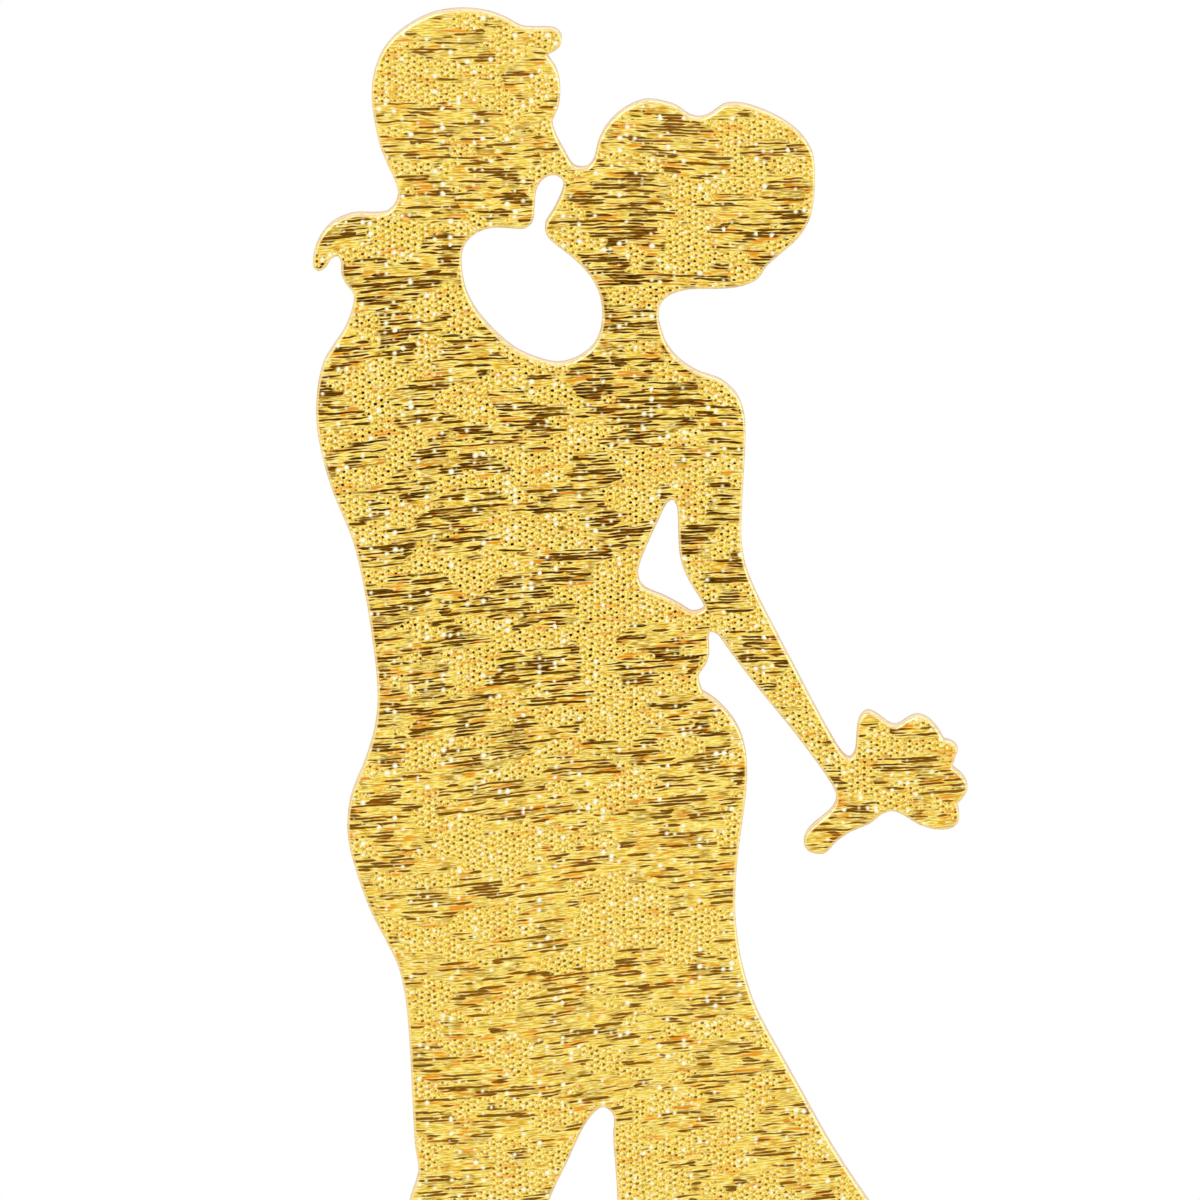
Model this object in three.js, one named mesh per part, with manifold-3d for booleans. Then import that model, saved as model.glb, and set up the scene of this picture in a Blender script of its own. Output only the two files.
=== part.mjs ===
// Wedding cake topper: a kissing bride and groom cut out as one flat silhouette.
// The cut-out is four sheets bonded face to face: a gold lame cloth in front, a
// bonding film, a thick core board and a paper liner on the back. Two wooden
// sticks run up behind the legs, held by tape, and go down into the cake.
// Millimetres, +Z up. The front faces -Y. The origin is the middle of the ground
// strip's underside, which rests on the cake.

import * as THREE from "three";
import { mergeVertices } from "three/addons/utils/BufferGeometryUtils.js";
import Module from "manifold-3d";

const wasm = await Module();
wasm.setup();

// Driving dimensions of the cut-out
const figureHeight = 136;
const stripOverhang = 1.8;
const stripHeight = 2.6;
const stripCorner = 1.3;
const clothThickness = 0.35;
const filmThickness = 0.1;
const boardThickness = 1.45;
const linerThickness = 0.5;

// Driving dimensions of the sticks and of the tape that holds them
const stickDiameter = 3;
const stickSeat = 55;
const stickFree = 65;
const stickTaper = 9;
const stickTipDiameter = 1;
const stickChamfer = 0.4;
const stickClearance = 0.2;
const tapeLength = 10;
const tapeWidth = 9;
const tapeThickness = 0.15;

// Steps that the curves are cut into
const stepsPerSpan = 2;
const stepsPerCorner = 4;
const stickSides = 20;
const tapeArcSteps = 10;

// Two points of the outline nearer than this are one
const samePoint = 0.001;

// The outline's points are shares of the figure's height, as [across, up]. Each
// table is one stretch of the silhouette, named after the body part that it draws.
// The line that the couple stands on lies on the ground strip's top, and the feet
// run on down to this share of the strip's height.
const standingLineShare = 0.019;
const footingShare = 0.5;

const rearHeelShares = [[-0.286, 0.02], [-0.2885, 0.03], [-0.285, 0.042]];
const groomLegBackShares = [
  [-0.289, 0.044], [-0.28, 0.085], [-0.266, 0.135], [-0.25, 0.185], [-0.236, 0.232],
  [-0.2255, 0.27], [-0.2215, 0.284], [-0.2235, 0.2999], [-0.2255, 0.335], [-0.2285, 0.384],
];
const groomBackShares = [
  [-0.2341, 0.4124], [-0.249, 0.442], [-0.26, 0.472], [-0.2648, 0.495], [-0.2625, 0.516],
  [-0.255, 0.535], [-0.2485, 0.556], [-0.2462, 0.578], [-0.249, 0.61], [-0.2545, 0.6448],
  [-0.2619, 0.6757], [-0.2737, 0.7047], [-0.2818, 0.735], [-0.2835, 0.76], [-0.2785, 0.784],
  [-0.2667, 0.8025], [-0.2612, 0.817], [-0.2608, 0.826],
];
const brideHandShares = [
  [-0.2658, 0.8328], [-0.2682, 0.839], [-0.2682, 0.845], [-0.2703, 0.8491],
  [-0.2742, 0.8474], [-0.2778, 0.842], [-0.2822, 0.8398], [-0.2853, 0.843],
  [-0.2845, 0.8515], [-0.2805, 0.861], [-0.2725, 0.8695], [-0.2606, 0.8743],
  [-0.25, 0.8745], [-0.241, 0.8752], [-0.2362, 0.879],
];
const groomHeadShares = [
  [-0.2335, 0.886], [-0.2348, 0.894], [-0.239, 0.9033], [-0.2444, 0.9168],
  [-0.248, 0.9335], [-0.2495, 0.95], [-0.2458, 0.9679], [-0.2374, 0.9814],
  [-0.2255, 0.9909], [-0.211, 0.9977], [-0.193, 1], [-0.1772, 0.9979],
];
const groomQuiffShares = [
  [-0.1673, 0.9941], [-0.158, 0.9892], [-0.1455, 0.9886], [-0.1375, 0.9878],
  [-0.1338, 0.9838], [-0.1352, 0.9773], [-0.143, 0.9722],
];
const groomFaceShares = [
  [-0.143, 0.9722], [-0.1368, 0.963], [-0.1345, 0.9505], [-0.136, 0.9395],
  [-0.1393, 0.9315], [-0.137, 0.9225], [-0.1312, 0.9115], [-0.1262, 0.9038],
];
const brideFaceShares = [
  [-0.1182, 0.903], [-0.1138, 0.9085], [-0.1118, 0.917], [-0.1078, 0.926],
];
const brideHairShares = [
  [-0.1008, 0.9345], [-0.0915, 0.941], [-0.0815, 0.9442], [-0.0726, 0.9431],
  [-0.0637, 0.9403], [-0.056, 0.935], [-0.0485, 0.9335], [-0.042, 0.9362],
  [-0.0348, 0.9412], [-0.0249, 0.9419], [-0.012, 0.9382], [0.0014, 0.9317],
  [0.0123, 0.9229], [0.0194, 0.9113], [0.0208, 0.8975], [0.0202, 0.8845],
  [0.0175, 0.8716], [0.0098, 0.8595], [-0.0012, 0.8497], [-0.0085, 0.843],
  [-0.0144, 0.8349], [-0.0258, 0.8302], [-0.041, 0.829], [-0.0565, 0.8286],
];
const brideShoulderShares = [
  [-0.067, 0.8255], [-0.0723, 0.8211], [-0.0746, 0.813], [-0.073, 0.8035],
  [-0.0695, 0.794], [-0.0614, 0.7842], [-0.0496, 0.7767], [-0.0367, 0.7721],
  [-0.0264, 0.7624], [-0.0221, 0.7498], [-0.0215, 0.736],
];
const brideArmShares = [
  [-0.0227, 0.7121], [-0.0238, 0.69], [-0.0238, 0.6735], [-0.0215, 0.6585],
  [-0.015, 0.6415], [-0.0045, 0.6205], [0.009, 0.5945], [0.022, 0.5695],
  [0.0325, 0.5505], [0.039, 0.541],
];
const bouquetTopShares = [
  [0.0427, 0.5392], [0.0456, 0.5434], [0.0466, 0.5536], [0.0483, 0.5635],
  [0.0533, 0.5682], [0.0599, 0.5654], [0.0661, 0.5607], [0.071, 0.5593],
  [0.0762, 0.5624], [0.0833, 0.5657], [0.0901, 0.5635], [0.0957, 0.5579], [0.1002, 0.5505],
];
const bouquetUpperBloomShares = [
  [0.1002, 0.5505], [0.1048, 0.5492], [0.1085, 0.5455], [0.1069, 0.5406], [0.1049, 0.5339],
];
const bouquetMiddleBloomShares = [
  [0.1049, 0.5339], [0.1115, 0.5284], [0.1145, 0.522], [0.112, 0.516], [0.1078, 0.5115],
];
const bouquetLowerBloomShares = [
  [0.1078, 0.5115], [0.1095, 0.505], [0.1079, 0.4992], [0.1034, 0.4965],
  [0.094, 0.4962], [0.084, 0.4995], [0.075, 0.505], [0.0682, 0.5074],
];
const ribbonEndShares = [
  [0.0615, 0.505], [0.0549, 0.4997], [0.0435, 0.4948], [0.034, 0.4882],
  [0.0275, 0.4815], [0.0216, 0.481], [0.0166, 0.4831], [0.0143, 0.4878],
  [0.0178, 0.4955], [0.0262, 0.5028],
];
const forearmShares = [
  [0.0325, 0.5092], [0.0343, 0.516], [0.0313, 0.5239], [0.0209, 0.5393],
  [0.0062, 0.5588], [-0.008, 0.5763], [-0.0228, 0.5951], [-0.0339, 0.6102],
  [-0.0385, 0.6165], [-0.0432, 0.6177], [-0.0439, 0.612],
];
const groomHandShares = [
  [-0.0436, 0.6043], [-0.0458, 0.5975], [-0.0498, 0.5915], [-0.0495, 0.5851],
  [-0.0478, 0.5805],
];
const dressBackShares = [
  [-0.0478, 0.5805], [-0.04, 0.5751], [-0.0316, 0.5667], [-0.0252, 0.5567],
  [-0.0215, 0.5445], [-0.0203, 0.53], [-0.0222, 0.5085], [-0.0257, 0.482],
  [-0.0275, 0.4575], [-0.0268, 0.4335], [-0.0228, 0.4095], [-0.0146, 0.3842],
  [-0.001, 0.3585], [0.0145, 0.3305], [0.0315, 0.3], [0.051, 0.27],
];
const dressTrainShares = [
  [0.076, 0.235], [0.107, 0.195], [0.1425, 0.155], [0.182, 0.116], [0.221, 0.08],
  [0.255, 0.0505], [0.275, 0.0335], [0.28, 0.022],
];
const dressFrontShares = [
  [-0.086, 0.022], [-0.09, 0.08], [-0.095, 0.15], [-0.0985, 0.22], [-0.1, 0.275],
  [-0.1022, 0.3049], [-0.1021, 0.3193], [-0.1081, 0.3243], [-0.1141, 0.3208],
];
const groomLegFrontShares = [
  [-0.1215, 0.31], [-0.1301, 0.2911], [-0.1405, 0.269], [-0.1472, 0.243],
  [-0.1505, 0.205], [-0.151, 0.155], [-0.149, 0.1], [-0.1455, 0.048],
];
const frontShoeShares = [
  [-0.1435, 0.0445], [-0.136, 0.0405], [-0.1235, 0.0345], [-0.112, 0.028],
  [-0.1075, 0.021],
];
const frontHeelShares = [[-0.2035, 0.02], [-0.205, 0.03], [-0.2035, 0.041]];
const legGapShares = [
  [-0.206, 0.042], [-0.2038, 0.085], [-0.204, 0.118], [-0.2068, 0.1325],
  [-0.2128, 0.121], [-0.2235, 0.088], [-0.236, 0.046],
];
const rearShoeShares = [[-0.234, 0.0425], [-0.227, 0.0395], [-0.2185, 0.0325], [-0.2145, 0.021]];

// The two openings run the other way round than the outline.
const neckOpeningShares = [
  [-0.1375, 0.8988], [-0.1445, 0.8968], [-0.149, 0.89], [-0.1502, 0.8795],
  [-0.1515, 0.8702], [-0.1565, 0.866], [-0.165, 0.8662], [-0.1755, 0.8665],
  [-0.186, 0.863], [-0.1935, 0.8545], [-0.1946, 0.842], [-0.1924, 0.8286],
  [-0.186, 0.8155], [-0.175, 0.8025], [-0.162, 0.7915], [-0.1487, 0.7854],
  [-0.1355, 0.7826], [-0.123, 0.7863], [-0.1128, 0.7955], [-0.109, 0.81],
  [-0.1109, 0.8264], [-0.1172, 0.8381], [-0.1275, 0.8485], [-0.137, 0.856],
  [-0.1428, 0.8618], [-0.1437, 0.868], [-0.1398, 0.8748], [-0.1348, 0.8845],
  [-0.1325, 0.8945],
];
const armOpeningShares = [
  [-0.0655, 0.6992], [-0.069, 0.6978], [-0.0745, 0.687], [-0.0815, 0.6715],
  [-0.0868, 0.6565], [-0.086, 0.6477], [-0.0824, 0.6436], [-0.072, 0.6392],
  [-0.0606, 0.6331], [-0.0542, 0.6294], [-0.0491, 0.6301], [-0.0463, 0.6325],
  [-0.051, 0.6415], [-0.0574, 0.6523], [-0.0614, 0.6643], [-0.0625, 0.6799],
  [-0.0631, 0.6938],
];

// A share of the figure's height becomes a point of the drawing, in millimetres.
function place([acrossShare, upShare]) {
  const height = (upShare - standingLineShare) * figureHeight;
  return new THREE.Vector3(acrossShare * figureHeight, stripHeight + height, 0);
}

// One smooth stretch: a curve through the points, cut into a few steps a span.
function smooth(shares, closed = false) {
  const curve = new THREE.CatmullRomCurve3(shares.map(place), closed, "centripetal");
  const spans = closed ? shares.length : shares.length - 1;
  const points = curve.getPoints(spans * stepsPerSpan);
  if (closed) points.pop();
  return points.map((point) => new THREE.Vector2(point.x, point.y));
}

// The point inside the ground strip, straight below the given one.
function footing(point) {
  return new THREE.Vector2(point.x, footingShare * stripHeight);
}

// Stretches that stand on the strip: both ends run down into it.
function standing(stretches) {
  const points = stretches.flat();
  return [footing(points[0]), ...points, footing(points[points.length - 1])];
}

function coupleShape() {
  const upper = [
    smooth(rearHeelShares),
    smooth([...groomLegBackShares, ...groomBackShares, ...brideHandShares, ...groomHeadShares,
      ...groomQuiffShares]),
    smooth([...groomFaceShares, ...brideFaceShares, ...brideHairShares, ...brideShoulderShares,
      ...brideArmShares, ...bouquetTopShares]),
    smooth(bouquetUpperBloomShares),
    smooth(bouquetMiddleBloomShares),
    smooth([...bouquetLowerBloomShares, ...ribbonEndShares, ...forearmShares, ...groomHandShares]),
    smooth([...dressBackShares, ...dressTrainShares]),
  ];
  const slit = [smooth([...dressFrontShares, ...groomLegFrontShares]), smooth(frontShoeShares)];
  const gap = [smooth(frontHeelShares), smooth(legGapShares), smooth(rearShoeShares)];
  const shape = new THREE.Shape(withoutDoubles([
    ...standing(upper), ...standing(slit), ...standing(gap),
  ]));
  shape.holes.push(new THREE.Path(smooth(neckOpeningShares, true)));
  shape.holes.push(new THREE.Path(smooth(armOpeningShares, true)));
  return shape;
}

// Stretches that meet at a corner share its point, which is kept once.
function withoutDoubles(points) {
  const apart = (point, i) => i === 0 || point.distanceTo(points[i - 1]) > samePoint;
  return points.filter(apart);
}

// The strip under the feet, with its two upper corners rounded. It reaches past the
// heel on the left and the train on the right, whichever is farther out.
function stripShape() {
  const reaches = [...rearHeelShares, ...dressTrainShares].map(([across]) => Math.abs(across));
  const half = Math.max(...reaches) * figureHeight + stripOverhang;
  const level = stripHeight - stripCorner;
  const turn = Math.PI / 2;
  const shape = new THREE.Shape();
  shape.moveTo(-half, 0);
  shape.lineTo(half, 0);
  shape.absarc(half - stripCorner, level, stripCorner, 0, turn, false);
  shape.absarc(stripCorner - half, level, stripCorner, turn, 2 * turn, false);
  return shape;
}

// Solids for the one join that the cut-out needs, and back to a geometry.
function toSolid(geometry) {
  const bare = geometry.clone();
  bare.deleteAttribute("normal");
  bare.deleteAttribute("uv");
  const merged = mergeVertices(bare);
  return new wasm.Manifold(new wasm.Mesh({
    numProp: 3,
    vertProperties: new Float32Array(merged.attributes.position.array),
    triVerts: new Uint32Array(merged.index.array),
  }));
}

function toGeometry(solid) {
  const { vertProperties, triVerts } = solid.getMesh();
  const geometry = new THREE.BufferGeometry();
  geometry.setAttribute("position", new THREE.BufferAttribute(new Float32Array(vertProperties), 3));
  geometry.setIndex(new THREE.BufferAttribute(new Uint32Array(triVerts), 1));
  geometry.computeVertexNormals();
  return geometry;
}

// One sheet of the cut-out. The drawing lies flat, is given its thickness, and is
// then stood up with its front towards -Y and its back at the given depth.
function sheet(name, thickness, back, material) {
  const options = { depth: thickness, bevelEnabled: false, curveSegments: stepsPerCorner };
  const couple = toSolid(new THREE.ExtrudeGeometry(coupleShape(), options));
  const strip = toSolid(new THREE.ExtrudeGeometry(stripShape(), options));
  const mesh = new THREE.Mesh(toGeometry(couple.add(strip)), material);
  mesh.name = name;
  mesh.rotation.x = Math.PI / 2;
  mesh.position.y = back;
  return mesh;
}

// A round stick turned about its own axis: a blunt point below, a small chamfer
// above, its zero at the cake's surface.
function stick(name, material) {
  const radius = stickDiameter / 2;
  const profile = [
    new THREE.Vector2(0, -stickFree),
    new THREE.Vector2(stickTipDiameter / 2, -stickFree),
    new THREE.Vector2(radius, stickTaper - stickFree),
    new THREE.Vector2(radius, stickSeat - stickChamfer),
    new THREE.Vector2(radius - stickChamfer, stickSeat),
    new THREE.Vector2(0, stickSeat),
  ];
  const mesh = new THREE.Mesh(new THREE.LatheGeometry(profile, stickSides), material);
  mesh.name = name;
  mesh.rotation.x = Math.PI / 2;
  return mesh;
}

// The tape's section: flat wings on the liner, straight flanks that leave it where
// they just touch the stick's round, and an arc over the stick. Both tangents from
// a wing's foot to the round are equally long, which gives the flank's slope.
const flankFootShare = 0.76;

function tapeShape() {
  const inner = stickDiameter / 2 + stickClearance;
  const outer = inner + tapeThickness;
  const half = tapeWidth / 2;
  const foot = flankFootShare * half;
  const slope = 2 * Math.atan2(inner, foot);
  const fold = foot + tapeThickness * Math.tan(slope / 2);
  const shape = new THREE.Shape();
  shape.moveTo(half, 0);
  shape.lineTo(half, tapeThickness);
  shape.lineTo(fold, tapeThickness);
  shape.absarc(0, inner, outer, Math.PI / 2 - slope, Math.PI / 2 + slope, false);
  shape.lineTo(-fold, tapeThickness);
  shape.lineTo(-half, tapeThickness);
  shape.lineTo(-half, 0);
  shape.lineTo(-foot, 0);
  shape.absarc(0, inner, inner, Math.PI / 2 + slope, Math.PI / 2 - slope, true);
  shape.lineTo(foot, 0);
  shape.closePath();
  return shape;
}

// A patch of tape, centred on the stick at the given height.
function tape(name, height, material) {
  const options = { depth: tapeLength, bevelEnabled: false, curveSegments: tapeArcSteps };
  const mesh = new THREE.Mesh(new THREE.ExtrudeGeometry(tapeShape(), options), material);
  mesh.name = name;
  mesh.position.z = height - tapeLength / 2;
  return mesh;
}

// Finishes
const lame = new THREE.MeshStandardMaterial({ color: 0xdebc5e, roughness: 0.35, metalness: 0.8 });
const adhesive = new THREE.MeshStandardMaterial({ color: 0xf2e6c4, roughness: 0.5, metalness: 0 });
const card = new THREE.MeshStandardMaterial({ color: 0xefdcc0, roughness: 0.9, metalness: 0 });
const paper = new THREE.MeshStandardMaterial({ color: 0xd8d0d2, roughness: 0.8, metalness: 0 });
const birch = new THREE.MeshStandardMaterial({ color: 0xe2c79a, roughness: 0.7, metalness: 0 });
const paperTape = new THREE.MeshStandardMaterial({ color: 0xf1ede2, roughness: 0.6, metalness: 0 });

// The sheets, from the back to the front, about the core board's middle.
const boardBack = boardThickness / 2;
const boardFront = -boardThickness / 2;
const linerBack = boardBack + linerThickness;

const topper = new THREE.Group();
topper.name = "wedding_cake_topper";
topper.add(sheet("back_liner", linerThickness, linerBack, paper));
topper.add(sheet("core_board", boardThickness, boardBack, card));
topper.add(sheet("bonding_film", filmThickness, boardFront, adhesive));
topper.add(sheet("lame_facing", clothThickness, boardFront - filmThickness, lame));

// Each stick stands behind a part of the figure, at this share of its height
// across, and each patch of tape at this share of the stick's seat.
const leftStickShare = -0.186;
const rightStickShare = -0.058;
const lowerTapeShare = 0.45;
const upperTapeShare = 0.85;

for (const [side, acrossShare] of [["left", leftStickShare], ["right", rightStickShare]]) {
  const carrier = new THREE.Group();
  carrier.position.x = acrossShare * figureHeight;
  const rod = stick(`${side}_stick`, birch);
  rod.position.y = linerBack + stickClearance + stickDiameter / 2;
  carrier.add(rod);
  for (const [level, seatShare] of [["lower", lowerTapeShare], ["upper", upperTapeShare]]) {
    const patch = tape(`${side}_${level}_tape`, seatShare * stickSeat, paperTape);
    patch.position.y = linerBack;
    carrier.add(patch);
  }
  topper.add(carrier);
}

export default topper;
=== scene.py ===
# Wedding cake topper: a kissing bride and groom cut out as one flat silhouette, faced
# with gold lame cloth, on two wooden sticks that go down into the cake. Metres, +Z up,
# the gold front towards -Y, zero at the middle of the ground strip's underside.

from math import atan2, cos, pi, radians, sin

import bpy
import numpy as np
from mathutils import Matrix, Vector
from mathutils.geometry import delaunay_2d_cdt


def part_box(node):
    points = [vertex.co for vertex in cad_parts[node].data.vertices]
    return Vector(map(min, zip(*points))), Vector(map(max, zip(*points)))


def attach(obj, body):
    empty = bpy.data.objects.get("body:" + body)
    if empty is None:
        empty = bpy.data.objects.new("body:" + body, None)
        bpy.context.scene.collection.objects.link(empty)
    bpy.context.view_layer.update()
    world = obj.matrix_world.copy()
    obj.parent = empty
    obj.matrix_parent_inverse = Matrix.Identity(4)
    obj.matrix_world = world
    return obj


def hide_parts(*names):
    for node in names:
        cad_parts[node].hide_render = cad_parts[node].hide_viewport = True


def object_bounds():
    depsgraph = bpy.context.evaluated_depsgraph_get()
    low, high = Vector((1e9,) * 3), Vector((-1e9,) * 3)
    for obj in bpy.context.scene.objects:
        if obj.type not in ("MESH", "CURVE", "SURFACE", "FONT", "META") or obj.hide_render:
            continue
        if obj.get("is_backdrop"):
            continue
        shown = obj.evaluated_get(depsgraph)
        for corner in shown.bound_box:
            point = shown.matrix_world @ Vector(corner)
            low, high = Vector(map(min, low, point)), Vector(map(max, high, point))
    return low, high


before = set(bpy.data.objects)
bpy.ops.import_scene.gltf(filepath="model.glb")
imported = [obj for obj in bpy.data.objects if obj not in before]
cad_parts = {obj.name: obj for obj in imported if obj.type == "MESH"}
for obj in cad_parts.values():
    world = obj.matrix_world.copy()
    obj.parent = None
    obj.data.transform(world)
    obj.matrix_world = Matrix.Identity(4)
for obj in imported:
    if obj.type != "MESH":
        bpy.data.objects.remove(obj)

solid_low, solid_high = (np.array(corner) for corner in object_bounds())

# The cut
# All four sheets are cut by one die along one line, with the corners of the packed
# cloth's front face on it. The die is smooth between them, apart from a few sharp
# corners, such as those between the blooms of the bouquet.

mm = 0.001
same_place = 0.001 * mm
point_spacing = 0.26 * mm
sharp_turn = radians(54)
normal_smoothings = 3
batch_size = 4000
merging_mm = 1e-6


def cut_corners(node):
    """The corners of the cut as (x, z) places, and the number of each one's next corner.

    The front triangles are those that lie in the node's lowest y. A side that only one
    of them has belongs to the cut, and in that triangle's own direction the cloth is on
    its left."""
    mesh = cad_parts[node].data
    places = np.empty(len(mesh.vertices) * 3, np.float32)
    mesh.vertices.foreach_get("co", places)
    numbers = np.empty(len(mesh.loops), np.int32)
    mesh.loops.foreach_get("vertex_index", numbers)
    triangles = places.reshape(-1, 3)[numbers].reshape(-1, 3, 3).astype(float)
    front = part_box(node)[0][1]
    triangles = triangles[(triangles[:, :, 1] < front + same_place).all(1)]
    spots = np.rint(triangles[:, :, ::2].reshape(-1, 2) / same_place)
    spots, names = np.unique(spots, axis=0, return_inverse=True)
    names = names.reshape(-1, 3)
    here, there = names.ravel(), np.roll(names, -1, axis=1).ravel()
    single = ~np.isin(here * len(spots) + there, there * len(spots) + here)
    here, there = here[single], there[single]
    order = np.argsort(here)
    return spots[here[order]] * same_place, np.searchsorted(here[order], there[order])


def span_slopes(way_in, way_on):
    """The curve's slope at each corner, for the span before it and for the one after.

    It mixes the two straight ways, each over the square root of its length, so that
    unequal spans don't overshoot. At a sharp turn each span keeps its own way."""
    long_in, long_on = (np.linalg.norm(way, axis=1)[:, None] for way in (way_in, way_on))
    in_root, on_root = np.sqrt(long_in), np.sqrt(long_on)
    slope = way_in / in_root - (way_in + way_on) / (in_root + on_root) + way_on / on_root
    turn = (way_in * way_on).sum(1, keepdims=True) / (long_in * long_on)
    sharp = turn < cos(sharp_turn)
    return np.where(sharp, way_in, slope * in_root), np.where(sharp, way_on, slope * on_root)


def cut_line(node):
    """Close points along the cut, each one's next point, and its normal out of the sheet.

    Each span between two corners is the cubic with the slopes above at its ends. The
    normals are turned a quarter from the line's way, and evened out along it."""
    corners, following = cut_corners(node)
    leading = np.argsort(following)
    way_on = corners[following] - corners
    arriving, leaving = span_slopes(way_on[leading], way_on)
    steps = np.rint(np.linalg.norm(way_on, axis=1) / point_spacing)
    steps = np.maximum(steps, 1).astype(int)
    first = np.cumsum(steps) - steps
    span = np.repeat(np.arange(len(steps)), steps)
    t = ((np.arange(len(span)) - first[span]) / steps[span])[:, None]
    line = (
        (2 * t**3 - 3 * t**2 + 1) * corners[span]
        + (t**3 - 2 * t**2 + t) * leaving[span]
        + (3 * t**2 - 2 * t**3) * corners[following[span]]
        + (t**3 - t**2) * arriving[following[span]]
    )
    after = np.arange(len(span)) + 1
    after[first + steps - 1] = first[following]
    before = np.argsort(after)
    way = line[after] - line[before]
    outward = np.stack([way[:, 1], -way[:, 0]], 1)
    for _ in range(normal_smoothings):
        outward /= np.linalg.norm(outward, axis=1, keepdims=True)
        outward = outward[before] + 2 * outward + outward[after]
    return line, after, outward / np.linalg.norm(outward, axis=1, keepdims=True)


def depth_inside(spots, line, outward):
    """How far each (x, z) spot lies inside the closed line, negative outside it.

    That is the distance to the line's nearest point, with the sign of the side of its
    normal that the spot is on. The spots are taken in batches to spare memory."""
    depths = []
    for batch in np.array_split(spots, len(spots) // batch_size + 1):
        squares = (line**2).sum(1) - 2 * batch @ line.T
        near = squares.argmin(1)
        away = batch - line[near]
        side = -np.sign((away * outward[near]).sum(1))
        depths.append(side * np.linalg.norm(away, axis=1))
    return np.concatenate(depths)


def filled(line, spots=np.empty((0, 2))):
    """Triangles that fill the closed line and pass through the spots inside it.

    Numbers below the line's length are its points, and the rest are the spots. The
    smallest angles are as large as they can be. A triangle with a side on the line is
    kept if it lies left of it, and one without, if its middle is inside."""
    count = len(line)
    places = np.concatenate([line, spots]) / mm
    sides = np.stack([np.arange(count), following], 1).tolist()
    found = delaunay_2d_cdt(places, sides, [], 0, merging_mm, False)
    if len(found[0]) != len(places):
        raise ValueError("the cut crosses itself or comes too near a spot")
    triangles = np.array(found[2])
    successor = np.append(following, np.full(len(spots), -1))
    turned = np.roll(triangles, -1, axis=1)
    left = (successor[triangles] == turned).any(1)
    right = (successor[turned] == triangles).any(1)
    inside = left | (triangles >= count).any(1)
    unsettled = ~inside & ~right
    middles = places[triangles[unsettled]].mean(1) * mm
    inside[unsettled] = depth_inside(middles, line, outward) > 0
    return triangles[inside]


cut, following, outward = cut_line("lame_facing")
cut_fill = filled(cut)

# The core board
# A thick pale board, 1.45 mm, that makes the cut-out stiff. The die leaves its cut face
# faintly ridged and takes the corners off, and its plies show there as fine lines.

board_front, board_back = (corner[1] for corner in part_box("core_board"))
board_corner = 0.04 * mm
die_mark = 0.03 * mm
board_rings = 7
edge_turn = radians(50)


def sheet_rings(profile):
    """Rings round the cut, from the front to the back: each profile entry gives how far
    in from the cut and at which depth y its ring lies, for all points or for each."""
    rings = []
    for inset, depth in profile:
        flat = cut - np.broadcast_to(inset, len(cut))[:, None] * outward
        rings.append(np.stack([flat[:, 0], np.broadcast_to(depth, len(cut)), flat[:, 1]], 1))
    return np.array(rings)


def sheet_faces(ring_count, front_fill, back_fill):
    """The quads between rings, which run all round the cut, and the two fills. In the
    front one, numbers past the first ring stand for spots that follow the last ring."""
    count = len(cut)
    point = np.arange(count)
    wall = np.stack([point, point + count, following + count, following], 1)
    walls = [wall + ring * count for ring in range(ring_count - 1)]
    back_start = (ring_count - 1) * count
    front = np.where(front_fill < count, front_fill, front_fill + back_start)
    back = back_fill[:, ::-1] + back_start
    return np.concatenate(walls).tolist() + front.tolist() + back.tolist()


def new_piece(name, places, faces, finish, sharp_from):
    """A mesh object at the origin, smooth except where its faces turn by sharp_from or more."""
    mesh = bpy.data.meshes.new(name)
    mesh.from_pydata(places.reshape(-1, 3), [], faces)
    mesh.shade_smooth()
    mesh.set_sharp_from_angle(angle=sharp_from)
    mesh.materials.append(finish)
    piece = bpy.data.objects.new(name, mesh)
    bpy.context.scene.collection.objects.link(piece)
    return piece


def tint(red, green, blue):
    """A colour of 0 to 255 a channel, as a screen shows it, in a shader's linear values."""
    return (*(((part / 255 + 0.055) / 1.055) ** 2.4 for part in (red, green, blue)), 1)


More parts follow.
